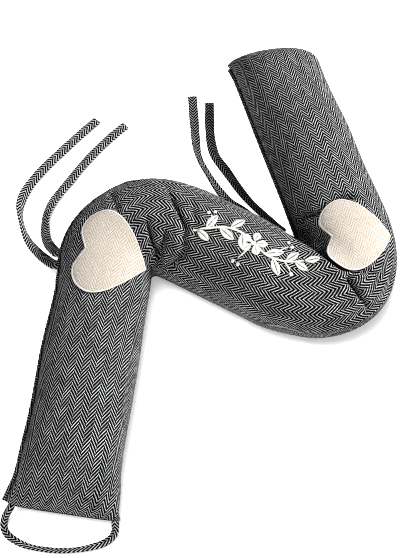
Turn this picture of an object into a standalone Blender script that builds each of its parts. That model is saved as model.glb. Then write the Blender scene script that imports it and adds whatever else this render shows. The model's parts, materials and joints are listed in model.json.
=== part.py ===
"""Draught excluder: one long filled cloth tube that lies on the floor, bent twice in a Z.

The tube is a sewn bag of tweed. Its lengthwise seam has a narrow piping and runs along the left
side from the near end to the far end. Two felted hearts are sewn on top, one beside each bend.
Two pairs of flat ties are caught in the seam at the bends, and a hanging loop at the near end.

Metres, +Z up. The floor is z = 0, and the origin is under the middle of the filled tube's box.
"""

import math

import bpy
import numpy as np
from mathutils import Vector
from mathutils.bvhtree import BVHTree

# ---- The tube's middle line in plan -------------------------------------------------------------
TUBE_LENGTH = 0.90                       # from end seam to end seam
LOWER_LENGTH = 0.268                     # straight leg nearest to the viewer
MIDDLE_LENGTH = 0.1206                   # straight leg between the bends
LOWER_HEADING = math.radians(83.2)       # from +X, going from the near end to the first bend
FIRST_TURN = math.radians(-109.1)        # clockwise, seen from above
SECOND_TURN = math.radians(132.1)        # anticlockwise
FIRST_RADIUS = 0.0535                    # middle line's radius about each fold
SECOND_RADIUS = 0.0585
FIRST_FOLD = (-0.0649, -0.0295)          # the two inner corners, about which the tube is folded
FOLD_GAP = (0.0035, 0.0050)              # radius left at each inner corner
SHIFT_FADE = 0.05                        # straight length over which the tube swings off its middle line

# ---- Cross-sections, a row for each place along the tube ----------------------------------------
#            along   half width  height
SECTIONS = (
    (0.000, 0.0600, 0.074),
    (0.010, 0.0562, 0.0745),
    (0.025, 0.0533, 0.075),
    (0.050, 0.0506, 0.077),
    (0.075, 0.0503, 0.0775),
    (0.110, 0.0508, 0.078),
    (0.150, 0.0512, 0.078),
    (0.268, 0.0516, 0.080),
    (0.305, 0.0554, 0.083),
    (0.340, 0.0580, 0.0865),
    (0.370, 0.0560, 0.088),
    (0.430, 0.0543, 0.089),
    (0.490, 0.0545, 0.088),
    (0.510, 0.0556, 0.086),
    (0.532, 0.0598, 0.084),
    (0.564, 0.0617, 0.083),
    (0.586, 0.0580, 0.081),
    (0.609, 0.0540, 0.079),
    (0.660, 0.0528, 0.078),
    (0.760, 0.0534, 0.078),
    (0.860, 0.0530, 0.077),
    (0.900, 0.0530, 0.074),
)
WIDEST_HEIGHT = 0.47                     # of the height, where the sides reach furthest out
CONTACT_SHARE = 0.50                     # of the half width that lies flat on the floor
END_CONTACT_SHARE = 0.93                 # the same at an end, where the tube is drawn flat
CROWN_POWER = 2.15
BELLY_POWER = 2.0
AROUND = 40                              # points around the tube
LEG_SPACING = 0.018                      # between sections in the straight legs
MIDDLE_SPACING = 0.011
BEND_SPACING = 0.0041                    # at the bends, and for BEND_MARGIN beyond them
BEND_MARGIN = 0.010
SEAM_TURN = ((0.0, 15.0), (0.25, 13.0), (0.45, 4.0), (0.60, -4.0), (0.90, -5.0))   # degrees up

# ---- Ends ---------------------------------------------------------------------------------------
END_SEAM_HEIGHT = 0.020
END_SEAM_THICKNESS = 0.008
#  near end first, then far end
END_CROWN = (0.070, 0.044)               # how far from the end the top reaches its full height
END_FULLNESS = (0.75, 0.5)               # power of the top's rise: 0.5 is a round end, 1 a soft wedge
END_BELLY = 0.026
END_ROWS = 8                             # sections between an end's seam and its full height
END_SKEW = ((0.006, 0.0), (0.0, -0.018))  # how far each end's left and right corner reach on
END_BOW = (0.0018, 0.0045)               # how far the near end bows out, right and left of its middle
BOW_SQUARENESS = 8                       # power of the bow: flat along the end, round at its corners
END_SWING = (0.0035, 0.030)              # how far left the near end is pulled, and over what length
SKEW_LENGTH = 0.09                       # length of tube over which an end's skew builds up

# ---- Stuffing lumps and sewn-in folds -----------------------------------------------------------
LUMP_HEIGHT = 0.0012
LUMP_FADE = 0.05                         # distance from an end over which the lumps die out
TOP_EASE = 0.020                         # height above the widest line over which they and folds come in
CREASE_TAIL = 0.45                       # last share of a fold's path, where it gets shallow
CREASE_END = 0.15                        # share of its depth left at the path's end
#  name, fold, depth, half widths left and right of the path, path in plan from that fold's inner corner
CREASES = (
    ("second valley", 1, 0.0150, (0.0200, 0.0060),
     ((0.001, -0.013), (0.012, -0.024), (0.021, -0.034), (0.030, -0.044), (0.044, -0.058), (0.055, -0.062))),
    ("heart fold", 1, 0.0055, (0.0060, 0.0060),
     ((0.004, 0.016), (0.018, 0.014), (0.027, 0.0165), (0.046, 0.024), (0.063, 0.029))),
    ("outer tuck", 1, 0.0060, (0.0048, 0.0048),
     ((0.052, -0.075), (0.055, -0.081), (0.067, -0.093), (0.076, -0.101))),
    ("long arc", 0, 0.0050, (0.0055, 0.0055),
     ((0.012, -0.002), (0.024, 0.000), (0.031, 0.005), (0.033, 0.022), (0.034, 0.034), (0.027, 0.053),
      (0.018, 0.075))),
    ("short fold", 0, 0.0045, (0.0050, 0.0050), ((0.002, 0.012), (-0.004, 0.029), (-0.008, 0.046))),
    ("corner fold", 0, 0.0042, (0.0046, 0.0046), ((0.0065, 0.009), (0.010, 0.021), (0.013, 0.030))),
    ("top tuck", 0, 0.0030, (0.0055, 0.0055), ((-0.056, 0.084), (-0.042, 0.058))),
)

# ---- Sewn-on pieces -----------------------------------------------------------------------------
PIPING_RADIUS = 0.0022
PIPING_SIDES = 6
PIPING_SETBACK = (1, 3)                  # sections of the tube left bare at the near and far end
SEAT_GAP = 0.0003                        # between any two pieces that touch
HEART_THICKNESS = 0.0018
HEART_GAP = 0.0009                       # more than the seat gap, because flat facets span the crown
HEART_ROWS = 8                           # rows of faces from the middle to the rim
HEART_STEPS = 4                          # rim points for each of the outline's
#  name            fold  centre from its corner  length  width  turn (degrees)  lean of the tip,
#  and the part tucked into a fold: its distance and direction (degrees) from the centre
HEARTS = (
    ("heart_patch_1", 0, (-0.0455, 0.0078), 0.0755, 0.100, -10.0, -0.0058, (math.inf, 0.0)),
    ("heart_patch_2", 1, (0.0655, -0.0184), 0.076, 0.090, 6.0, 0.0, (0.0425, 228.7)),
)
TUCKED = 0.003                           # how far into its fold a tucked part of the felt reaches
#  half of a heart, tip towards +X, one unit long and one wide, from the notch to the tip
HEART_HALF = ((-0.38, 0.0), (-0.50, 0.22), (-0.42, 0.40), (-0.20, 0.50), (0.04, 0.445), (0.28, 0.27),
              (0.44, 0.09), (0.50, 0.0))
FELT_STEP = 0.0015                       # grid on which the felt's lie is worked out
FELT_EASING = 70                         # rounds of easing, which set how far the felt spans a fold
FELT_STEEPEST = 2.0                      # steepest slope that widens its gap

# ---- Flat ties and the hanging loop -------------------------------------------------------------
TIE_WIDTH = 0.0118
LOOP_WIDTH = 0.0078
STRAP_THICKNESS = 0.003
STRAP_SPACING = 0.011                    # between the sections of a strap's solid
STRAP_FACE = 0.86                        # of the width that is at full thickness
#  each route runs along the strap's middle, from the seam down to the floor and along it
STRAPS = {
    "tie_1a": ((-0.1722, -0.0187, 0.0418), (-0.1778, -0.0175, 0.0398), (-0.1850, -0.0105, 0.0325),
               (-0.1930, -0.0010, 0.0240), (-0.2015, 0.0100, 0.0150), (-0.2105, 0.0220, 0.0075),
               (-0.2190, 0.0355, 0.0030), (-0.2262, 0.0525, 0.0020), (-0.2312, 0.0730, 0.0020),
               (-0.2305, 0.0907, 0.0020), (-0.2250, 0.1079, 0.0020), (-0.2162, 0.1237, 0.0020),
               (-0.2053, 0.1395, 0.0020), (-0.1900, 0.1589, 0.0020), (-0.1738, 0.1788, 0.0020),
               (-0.1600, 0.1951, 0.0020), (-0.1459, 0.2107, 0.0020)),
    "tie_1b": ((-0.1705, -0.0036, 0.0418), (-0.1768, -0.0018, 0.0398), (-0.1820, 0.0060, 0.0325),
               (-0.1877, 0.0155, 0.0235), (-0.1928, 0.0260, 0.0145), (-0.1966, 0.0375, 0.0070),
               (-0.1988, 0.0505, 0.0028), (-0.1990, 0.0667, 0.0020), (-0.1933, 0.0864, 0.0020),
               (-0.1850, 0.1015, 0.0020), (-0.1753, 0.1167, 0.0020), (-0.1626, 0.1372, 0.0020),
               (-0.1493, 0.1565, 0.0020), (-0.1320, 0.1785, 0.0020), (-0.1208, 0.1910, 0.0020),
               (-0.1092, 0.2028, 0.0020)),
    "tie_2a": ((0.0615, 0.0305, 0.0391), (0.0638, 0.0358, 0.0360), (0.0640, 0.0405, 0.0275),
               (0.0625, 0.0458, 0.0175), (0.0592, 0.0515, 0.0090), (0.0530, 0.0590, 0.0040),
               (0.0450, 0.0683, 0.0022), (0.0345, 0.0775, 0.0020), (0.0212, 0.0878, 0.0020),
               (0.0075, 0.1058, 0.0020), (-0.0060, 0.1299, 0.0020), (-0.0138, 0.1465, 0.0020),
               (-0.0183, 0.1628, 0.0020), (-0.0206, 0.1879, 0.0020), (-0.0216, 0.2025, 0.0020),
               (-0.0226, 0.2178, 0.0020), (-0.0245, 0.2484, 0.0020)),
    "tie_2b": ((0.0743, 0.0233, 0.0393), (0.0772, 0.0297, 0.0366), (0.0796, 0.0352, 0.0275),
               (0.0802, 0.0415, 0.0170), (0.0785, 0.0478, 0.0088), (0.0750, 0.0542, 0.0037),
               (0.0695, 0.0612, 0.0020), (0.0600, 0.0712, 0.0020), (0.0470, 0.0860, 0.0020),
               (0.0345, 0.1040, 0.0020), (0.0180, 0.1330, 0.0020), (0.0050, 0.1545, 0.0020),
               (0.0002, 0.1719, 0.0020), (-0.0018, 0.1895, 0.0020), (-0.0024, 0.2075, 0.0020),
               (-0.0024, 0.2225, 0.0020), (-0.0023, 0.2378, 0.0020)),
    "hang_loop": ((-0.2040, -0.2787, 0.0190), (-0.2052, -0.2825, 0.0182), (-0.2082, -0.2862, 0.0150),
                  (-0.2112, -0.2898, 0.0095), (-0.2131, -0.2948, 0.0050), (-0.2124, -0.3016, 0.0026),
                  (-0.2060, -0.3090, 0.0020), (-0.1925, -0.3163, 0.0020), (-0.1800, -0.3197, 0.0020),
                  (-0.1640, -0.3219, 0.0020), (-0.1484, -0.3223, 0.0020), (-0.1330, -0.3209, 0.0020),
                  (-0.1190, -0.3178, 0.0020), (-0.1090, -0.3138, 0.0023), (-0.1024, -0.3087, 0.0048),
                  (-0.0996, -0.3037, 0.0105), (-0.0992, -0.2997, 0.0165), (-0.0989, -0.2971, 0.0200)),
}


def clear_scene():
    for item in list(bpy.data.objects):
        bpy.data.objects.remove(item, do_unlink=True)


def cloth(name, color, roughness=0.95):
    material = bpy.data.materials.new(name)
    material.use_nodes = True
    shader = material.node_tree.nodes["Principled BSDF"]
    shader.inputs["Base Color"].default_value = (*color, 1.0)
    shader.inputs["Roughness"].default_value = roughness
    shader.inputs["Metallic"].default_value = 0.0
    return material


def smooth_value(rows, column, at):
    """A smooth curve through one column of a table (cubic, with slopes taken from the neighbours)."""
    table = np.array(rows)
    places, values = table[:, 0], table[:, column]
    slopes = np.gradient(values, places)
    row = min(max(int(np.searchsorted(places, at, side="right")) - 1, 0), len(places) - 2)
    width = places[row + 1] - places[row]
    t = (at - places[row]) / width
    return (values[row] * (1 + 2 * t) * (1 - t) ** 2 + values[row + 1] * t * t * (3 - 2 * t)
            + width * (slopes[row] * t * (1 - t) ** 2 - slopes[row + 1] * t * t * (1 - t)))


def run_lengths(xs, ys):
    """Distance run along a polyline, at each of its points."""
    return np.concatenate(((0.0,), np.cumsum(np.hypot(np.diff(xs), np.diff(ys)))))


def eased(value):
    value = min(max(value, 0.0), 1.0)
    return value * value * (3 - 2 * value)


FIRST_START = LOWER_LENGTH
FIRST_END = FIRST_START + FIRST_RADIUS * abs(FIRST_TURN)
SECOND_START = FIRST_END + MIDDLE_LENGTH
SECOND_END = SECOND_START + SECOND_RADIUS * abs(SECOND_TURN)


def left_of(heading):
    return np.array((-math.sin(heading), math.cos(heading)))


def ahead_of(heading):
    return np.array((math.cos(heading), math.sin(heading)))


def folds():
    """The two inner corners in plan."""
    first = np.array(FIRST_FOLD)
    heading = LOWER_HEADING + FIRST_TURN
    return first, (first + (FIRST_RADIUS + SECOND_RADIUS) * left_of(heading)
                   + MIDDLE_LENGTH * ahead_of(heading))


def middle_line(along):
    """Plan position and heading at a distance from the near end seam."""
    first, second = folds()
    if along < FIRST_END:
        turned = min(max(along - FIRST_START, 0.0), FIRST_END - FIRST_START) / FIRST_RADIUS
        heading = LOWER_HEADING - turned
        return (first + FIRST_RADIUS * left_of(heading)
                + min(along - FIRST_START, 0.0) * ahead_of(heading)), heading
    if along < SECOND_START:
        heading = LOWER_HEADING + FIRST_TURN
        return first + FIRST_RADIUS * left_of(heading) + (along - FIRST_END) * ahead_of(heading), heading
    turned = min(along - SECOND_START, SECOND_END - SECOND_START) / SECOND_RADIUS
    heading = LOWER_HEADING + FIRST_TURN + turned
    return (second - SECOND_RADIUS * left_of(heading)
            + max(along - SECOND_END, 0.0) * ahead_of(heading)), heading


def side_shift(along, half_width):
    """How far left of the middle line the section sits, so its inner side keeps the fold's gap."""
    first = half_width + FOLD_GAP[0] - FIRST_RADIUS
    second = SECOND_RADIUS - half_width - FOLD_GAP[1]
    swap = eased((along - FIRST_END) / MIDDLE_LENGTH)
    into_first = eased((along - FIRST_START + SHIFT_FADE) / SHIFT_FADE)
    out_of_second = 1 - eased((along - SECOND_END) / SHIFT_FADE)
    return first * into_first * (1 - swap) + second * swap * out_of_second


def section(along):
    """Outline (across, height) of one section, the middle of it, and the height where it is widest.

    across is positive to the left. The outline starts at the seam and runs round over the top.
    """
    half_width = smooth_value(SECTIONS, 1, along)
    height = smooth_value(SECTIONS, 2, along)
    from_end = min(along, TUBE_LENGTH - along)
    end = 0 if from_end == along else 1
    crown = (1 - (1 - min(from_end / END_CROWN[end], 1.0)) ** 2) ** END_FULLNESS[end]
    belly = math.sqrt(1 - (1 - min(from_end / END_BELLY, 1.0)) ** 2)
    seam_top = END_SEAM_HEIGHT + END_SEAM_THICKNESS / 2
    seam_bottom = END_SEAM_HEIGHT - END_SEAM_THICKNESS / 2
    top = seam_top + (height - seam_top) * crown
    bottom = seam_bottom * (1 - belly)
    widest = bottom + (top - bottom) * (0.5 + (WIDEST_HEIGHT - 0.5) * crown)
    contact = half_width * (END_CONTACT_SHARE + (CONTACT_SHARE - END_CONTACT_SHARE) * belly)

    quarter = np.linspace(0, math.pi / 2, 60)
    crown_across = half_width * np.cos(quarter) ** (2 / CROWN_POWER)
    crown_height = widest + (top - widest) * np.sin(quarter) ** (2 / CROWN_POWER)
    belly_across = contact + (half_width - contact) * np.cos(quarter) ** (2 / BELLY_POWER)
    belly_height = widest - (widest - bottom) * np.sin(quarter) ** (2 / BELLY_POWER)
    across = np.concatenate((crown_across, -crown_across[-2::-1], -belly_across[1:], belly_across[::-1]))
    heights = np.concatenate((crown_height, crown_height[-2::-1], belly_height[1:], belly_height[::-1]))
    lengths = run_lengths(across, heights)

    turn = math.radians(float(np.interp(along, *zip(*SEAM_TURN))))
    rise = (top - widest) * math.sin(turn)
    if rise >= 0:
        start = float(np.interp(widest + rise, crown_height, lengths[:len(crown_height)]))
    else:
        down_belly = run_lengths(belly_across, belly_height)
        start = lengths[-1] - float(np.interp(-rise, widest - belly_height, down_belly))
    places = (start + np.arange(AROUND) / AROUND * lengths[-1]) % lengths[-1]
    shift = side_shift(along, half_width) + END_SWING[0] * (1 - eased(along / END_SWING[1]))
    outline = np.column_stack((np.interp(places, lengths, across) + shift,
                               np.interp(places, lengths, heights)))
    return outline, np.array((shift, (top + bottom) / 2)), widest


def stations():
    """Places of the tube's sections: close together at the ends and in the bends."""
    near, far = ([crown * (1 - math.cos(math.pi / 2 * i / END_ROWS)) for i in range(END_ROWS + 1)]
                 for crown in END_CROWN)
    places = list(near)
    for last, spacing in ((FIRST_START - BEND_MARGIN, LEG_SPACING), (FIRST_END + BEND_MARGIN, BEND_SPACING),
                          (SECOND_START - BEND_MARGIN, MIDDLE_SPACING),
                          (SECOND_END + BEND_MARGIN, BEND_SPACING), (TUBE_LENGTH - far[-1], LEG_SPACING)):
        places += np.linspace(places[-1], last, round((last - places[-1]) / spacing) + 1).tolist()[1:]
    return places + [TUBE_LENGTH - distance for distance in reversed(far[:-1])]


def nearest_on(path, x, y):
    """Distance from a place in plan to a path, the share of the path passed there, and the side.

    The side is 1 left of the path and -1 right of it, with a smooth change past the path's ends.
    """
    lengths = [math.dist(a, b) for a, b in zip(path, path[1:])]
    nearest, run, side, passed = math.inf, 0.0, 0.0, 0.0
    for a, b, length in zip(path, path[1:], lengths):
        ahead = (b - a) / length
        t = min(max(((x - a[0]) * ahead[0] + (y - a[1]) * ahead[1]) / length, 0.0), 1.0)
        away = np.array((x, y)) - a - t * (b - a)
        distance = math.hypot(*away)
        if distance < nearest:
            nearest, run = distance, passed + t * length
            side = (ahead[0] * away[1] - ahead[1] * away[0]) / max(distance, 1e-9)
        passed += length
    return nearest, run / passed, side


def crease_depth(x, y):
    """How deep the folds sink the top at a place in plan."""
    corners = folds()
    depth = 0.0
    for _, fold, deepest, (left, right), offsets in CREASES:
        nearest, run, side = nearest_on([corners[fold] + np.array(offset) for offset in offsets], x, y)
        fading = min(1.0, (1 - run) / CREASE_TAIL + CREASE_END)
        depth += deepest * fading * math.exp(-(nearest / (right + (left - right) * (1 + side) / 2)) ** 2)
    return depth


def lump(along, share):
    """Unevenness of the stuffing, from a few long waves along and around the tube."""
    turn = 2 * math.pi * share
    return LUMP_HEIGHT * (math.sin(along / 0.021 + math.sin(turn)) * math.cos(turn + 0.4)
                          + 0.7 * math.sin(along / 0.034 + 2 * turn + 1.0))


def tube_rings():
    """Every section's points in space, and the outward direction at the seam's point."""
    rings, seam_out = [], []
    for along in stations():
        place, heading = middle_line(along)
        outline, middle, widest = section(along)
        left, ahead = left_of(heading), ahead_of(heading)
        near = eased(1 - along / SKEW_LENGTH)
        far = eased(1 - (TUBE_LENGTH - along) / SKEW_LENGTH)
        lumps = eased(min(along, TUBE_LENGTH - along) / LUMP_FADE)
        leftmost, rightmost = outline[:, 0].max(), outline[:, 0].min()
        ring = []
        for index, (across, height) in enumerate(outline):
            share = (across - rightmost) / (leftmost - rightmost)
            bow = ((END_BOW[0] + (END_BOW[1] - END_BOW[0]) * share)
                   * (1 - (2 * share - 1) ** BOW_SQUARENESS))
            skew = (near * (END_SKEW[0][1] + (END_SKEW[0][0] - END_SKEW[0][1]) * share - bow)
                    + far * (END_SKEW[1][1] + (END_SKEW[1][0] - END_SKEW[1][1]) * share))
            spot = place + left * across + ahead * skew
            outward = np.array((across, height)) - middle
            outward /= max(np.linalg.norm(outward), 1e-9)
            move = eased((height - widest) / TOP_EASE) * (lump(along, index / AROUND) * lumps
                                                          - crease_depth(*spot))
            spot = spot + left * outward[0] * move
            ring.append((spot[0], spot[1], height + outward[1] * move))
        rings.append(ring)
        away = outline[0] - middle
        away /= np.linalg.norm(away)
        seam_out.append(Vector((left[0] * away[0], left[1] * away[0], away[1])))
    return rings, seam_out


def signed_volume(mesh):
    total = 0.0
    for face in mesh.polygons:
        corners = [mesh.vertices[i].co for i in face.vertices]
        for b, c in zip(corners[1:], corners[2:]):
            total += corners[0].dot(b.cross(c)) / 6
    return total


def closed_object(name, vertices, faces, material):
    mesh = bpy.data.meshes.new(name)
    mesh.from_pydata(vertices, [], faces)
    mesh.materials.append(material)
    mesh.update()
    if signed_volume(mesh) < 0:
        mesh.flip_normals()
    mesh.shade_smooth()
    item = bpy.data.objects.new(name, mesh)
    bpy.context.collection.objects.link(item)
    return item


def loft(name, rings, material):
    """A closed solid from rings of equal size, its two ends closed with a fan."""
    count = len(rings[0])
    vertices = [tuple(map(float, point)) for ring in rings for point in ring]
    faces = []
    for row in range(len(rings) - 1):
        for i in range(count):
            j = (i + 1) % count
            faces.append((row * count + i, row * count + j, (row + 1) * count + j, (row + 1) * count + i))
    for row, flip in ((0, True), (len(rings) - 1, False)):
        centre = len(vertices)
        vertices.append(tuple(np.mean(np.array(rings[row]), axis=0).tolist()))
        for i in range(count):
            a, b = row * count + i, row * count + (i + 1) % count
            faces.append((centre, b, a) if flip else (centre, a, b))
    return closed_object(name, vertices, faces, material)


def make_piping(rings, seam_out, material):
    """A cord of cloth along the seam, from just behind one end to the other."""
    away = PIPING_RADIUS + SEAT_GAP
    path = [Vector(ring[0]) + away * out for ring, out in zip(rings, seam_out)]
    path = path[PIPING_SETBACK[0]:-PIPING_SETBACK[1]]
    turns = [2 * math.pi * i / PIPING_SIDES for i in range(PIPING_SIDES)]
    tube = []
    for index, centre in enumerate(path):
        forward = path[min(index + 1, len(path) - 1)] - path[max(index - 1, 0)]
        side = forward.cross(Vector((0, 0, 1))).normalized()
        up = side.cross(forward.normalized())
        tube.append([tuple(centre + PIPING_RADIUS * (math.cos(a) * side + math.sin(a) * up)) for a in turns])
    return loft("side_piping", tube, material)


def smooth_path(points, steps):
    """A smooth curve through the points (Catmull-Rom), with steps places between each two."""
    points = [Vector(p) for p in points]
    ends = [2 * points[0] - points[1]] + points + [2 * points[-1] - points[-2]]
    path = []
    for before, a, b, after in zip(ends, ends[1:], ends[2:], ends[3:]):
        for step in range(steps):
            t = step / steps
            path.append(0.5 * (2 * a + (b - before) * t + (2 * before - 5 * a + 4 * b - after) * t * t
                               + (3 * a - before - 3 * b + after) * t ** 3))
    return path + [points[-1]]


def heart_outline():
    half = smooth_path(HEART_HALF, HEART_STEPS)
    return [tuple(p) for p in half] + [(x, -y) for x, y in half[-2:0:-1]]


def make_strap(name, route, strap_width, material):
    """A flat woven strap with square ends, lying face down along its route."""
    fine = smooth_path(route, 8)
    lengths = [0.0]
    for a, b in zip(fine, fine[1:]):
        lengths.append(lengths[-1] + (b - a).length)

    def at(place):
        return Vector([float(np.interp(place, lengths, [p[axis] for p in fine])) for axis in range(3)])

    half, face, thick = strap_width / 2, STRAP_FACE * strap_width / 2, STRAP_THICKNESS / 2
    profile = ((half, -thick / 2), (half, thick / 2), (face, thick), (-face, thick),
               (-half, thick / 2), (-half, -thick / 2), (-face, -thick), (face, -thick))
    rings = []
    for place in np.linspace(0, lengths[-1], round(lengths[-1] / STRAP_SPACING) + 1):
        forward = (at(place + 0.001) - at(place - 0.001)).normalized()
        side = forward.cross(Vector((0, 0, 1))).normalized()
        up = side.cross(forward)
        rings.append([tuple(at(place) + x * side + z * up) for x, z in profile])
    return loft(name, rings, material)


def felt_bed(cover, x, y, reach):
    """A function for the height at which felt lies over the tube, around a place in plan.

    The felt touches the crowns and spans narrow folds: on a square grid, its heights are eased
    towards their neighbours' mean, and never sink to the cover's own.
    """
    tree = BVHTree.FromPolygons([v.co for v in cover.data.vertices],
                                [p.vertices for p in cover.data.polygons])
    count = round(2 * reach / FELT_STEP) + 1
    ground = np.zeros((count, count))
    for row in range(count):
        for column in range(count):
            above = Vector((x - reach + column * FELT_STEP, y - reach + row * FELT_STEP, 1.0))
            hit = tree.ray_cast(above, Vector((0, 0, -1)))[0]
            ground[row, column] = hit.z if hit else 0.0

    def beside(heights):
        return [np.roll(heights, step, axis) for step in (1, -1) for axis in (0, 1)]

    slope = np.minimum(np.hypot(*np.gradient(ground, FELT_STEP)), FELT_STEEPEST)
    floor = ground + HEART_GAP * np.sqrt(1 + slope ** 2)
    floor = np.maximum(floor, (floor + np.max(beside(floor), axis=0)) / 2)
    bed = floor
    for _ in range(FELT_EASING):
        bed = np.maximum(floor, np.mean(beside(bed), axis=0))

    def height_at(px, py):
        column, row = (px - x + reach) / FELT_STEP, (py - y + reach) / FELT_STEP
        i, j = int(column), int(row)
        u, v = column - i, row - j
        return float((bed[j, i] * (1 - u) + bed[j, i + 1] * u) * (1 - v)
                     + (bed[j + 1, i] * (1 - u) + bed[j + 1, i + 1] * u) * v)

    return height_at


def tucked(a, b, distance, heading):
    """A place beside a heart's centre, drawn in where it lies past a fold that the felt is tucked into."""
    ahead = ahead_of(math.radians(heading))
    past = a * ahead[0] + b * ahead[1] - distance
    if past <= 0:
        return a, b
    drawn_in = past - TUCKED * (1 - math.exp(-past / TUCKED))
    return a - drawn_in * ahead[0], b - drawn_in * ahead[1]


def make_heart(cover, name, fold, offset, length, width, turn, lean, tuck, material):
    """A felted heart laid on the tube's top, following its crown."""
    x, y = folds()[fold] + np.array(offset)
    height_at = felt_bed(cover, x, y, 0.65 * max(length, width))
    cos, sin = math.cos(math.radians(turn)), math.sin(math.radians(turn))
    rim = [(length * a, width * b + lean * (a + 0.5)) for a, b in heart_outline()]
    rim = [tucked(a * cos - b * sin, a * sin + b * cos, *tuck) for a, b in rim]
    shares = [row / HEART_ROWS for row in range(1, HEART_ROWS + 1)]
    under, over = [], []
    for a, b in [(0.0, 0.0)] + [(a * share, b * share) for share in shares for a, b in rim]:
        px, py = x + a, y + b
        rise_x = height_at(px + FELT_STEP, py) - height_at(px - FELT_STEP, py)
        rise_y = height_at(px, py + FELT_STEP) - height_at(px, py - FELT_STEP)
        spot = Vector((px, py, height_at(px, py)))
        under.append(spot)
        over.append(spot + HEART_THICKNESS * Vector((-rise_x, -rise_y, 2 * FELT_STEP)).normalized())

    count, size = len(rim), len(under)
    faces = []
    for i in range(count):
        j = (i + 1) % count
        faces.append((0, 1 + j, 1 + i))
        faces.append((size, size + 1 + i, size + 1 + j))
        for inner in range(1, size - count, count):
            a, b, c, d = inner + i, inner + j, inner + count + j, inner + count + i
            faces.append((a, b, c, d))
            faces.append((size + a, size + d, size + c, size + b))
        edge = size - count
        faces.append((edge + i, edge + j, size + edge + j, size + edge + i))
    return closed_object(name, [tuple(v) for v in under + over], faces, material)


def main():
    clear_scene()
    tweed = cloth("tweed", (0.10, 0.10, 0.10))
    trim = cloth("trim", (0.09, 0.09, 0.09))
    cream = cloth("cream", (0.80, 0.72, 0.60))
    rings, seam_out = tube_rings()
    cover = loft("cover", rings, tweed)
    make_piping(rings, seam_out, trim)
    for row in HEARTS:
        make_heart(cover, *row, cream)
    for name, route in STRAPS.items():
        make_strap(name, route, LOOP_WIDTH if name == "hang_loop" else TIE_WIDTH, tweed)


main()
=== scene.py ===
import json
import math
from functools import partial

import bpy
import numpy as np
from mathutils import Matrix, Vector
from mathutils.bvhtree import BVHTree

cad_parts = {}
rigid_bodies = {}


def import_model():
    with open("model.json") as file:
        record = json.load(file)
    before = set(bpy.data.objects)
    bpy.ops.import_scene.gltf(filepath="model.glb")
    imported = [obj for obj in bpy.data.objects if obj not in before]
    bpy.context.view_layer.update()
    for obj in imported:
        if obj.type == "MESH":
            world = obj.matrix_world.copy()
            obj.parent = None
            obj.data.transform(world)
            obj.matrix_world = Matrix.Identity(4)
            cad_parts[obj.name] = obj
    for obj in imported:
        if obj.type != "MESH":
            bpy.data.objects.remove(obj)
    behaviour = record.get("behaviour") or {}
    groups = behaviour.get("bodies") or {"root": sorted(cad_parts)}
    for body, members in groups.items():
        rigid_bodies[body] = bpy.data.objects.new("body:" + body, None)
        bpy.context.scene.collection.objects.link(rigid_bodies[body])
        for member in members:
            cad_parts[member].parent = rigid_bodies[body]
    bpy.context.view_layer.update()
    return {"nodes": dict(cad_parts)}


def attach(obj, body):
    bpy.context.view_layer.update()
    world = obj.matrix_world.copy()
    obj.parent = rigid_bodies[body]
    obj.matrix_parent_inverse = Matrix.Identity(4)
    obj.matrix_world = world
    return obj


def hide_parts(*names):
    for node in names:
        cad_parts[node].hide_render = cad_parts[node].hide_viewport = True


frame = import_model()
scene = bpy.context.scene
print("frame loaded:", ", ".join(sorted(frame["nodes"])))

# Metres throughout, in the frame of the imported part. The tube is measured along its middle line, from the
# near end, and its creases in plan, from the inner corner of the bend that they belong to.


def linked(name, data):
    item = bpy.data.objects.new(name, data)
    scene.collection.objects.link(item)
    return item


cameraLook = {
    "aim": (-0.0145, -0.0154, 0.0),      # the floor point in the middle of the picture
    "height": 0.915,
    "tilt": 63.0,                        # degrees down from level
    "lens": 57.0,                        # mm
    "pictureHeight": 36.0,               # mm
}


def addCamera(look):
    data = bpy.data.cameras.new("camera")
    data.sensor_fit = "VERTICAL"
    data.sensor_height = look["pictureHeight"]
    data.lens = look["lens"]
    camera = linked("camera", data)
    tilt = math.radians(look["tilt"])
    x, y, z = look["aim"]
    camera.location = (x, y - look["height"] / math.tan(tilt), z + look["height"])
    camera.rotation_euler = (math.pi / 2 - tilt, 0, 0)
    scene.camera = camera


addCamera(cameraLook)
print("camera placed")


def makeObject(name, points, faces, uvs=None):
    # points and faces as lists or arrays, and for uvs one (u, v) for each corner of each face.
    mesh = bpy.data.meshes.new(name)
    mesh.from_pydata([tuple(map(float, p)) for p in points], [], [tuple(map(int, f)) for f in faces])
    if uvs is not None:
        layer = mesh.uv_layers.new(name="weave")
        layer.data.foreach_set("uv", np.asarray(uvs, np.float32).ravel())
    mesh.update()
    mesh.shade_smooth()
    return linked(name, mesh)


def tubeFaces(rows, around):
    # Quads of a tube of rings, and the (row, step) of each of their corners, where the seam's last step is
    # a whole turn.
    row, step = np.meshgrid(np.arange(rows - 1), np.arange(around), indexing="ij")
    row, step = row.ravel(), step.ravel()
    corners = ((row, step), (row, step + 1), (row + 1, step + 1), (row + 1, step))
    faces = np.stack([r * around + s % around for r, s in corners], axis=1)
    places = np.stack([np.stack(c, axis=1) for c in corners], axis=1)
    return faces, places


def facesOut(item):
    # Turns the mesh's faces outwards if they point in.
    mesh = item.data
    mesh.calc_loop_triangles()
    corners = np.zeros(len(mesh.vertices) * 3)
    mesh.vertices.foreach_get("co", corners)
    corners = corners.reshape(-1, 3)
    triangles = np.zeros(len(mesh.loop_triangles) * 3, np.int32)
    mesh.loop_triangles.foreach_get("vertices", triangles)
    a, b, c = (corners[triangles.reshape(-1, 3)[:, i]] for i in range(3))
    if (a * np.cross(b, c)).sum() < 0:
        mesh.flip_normals()


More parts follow.
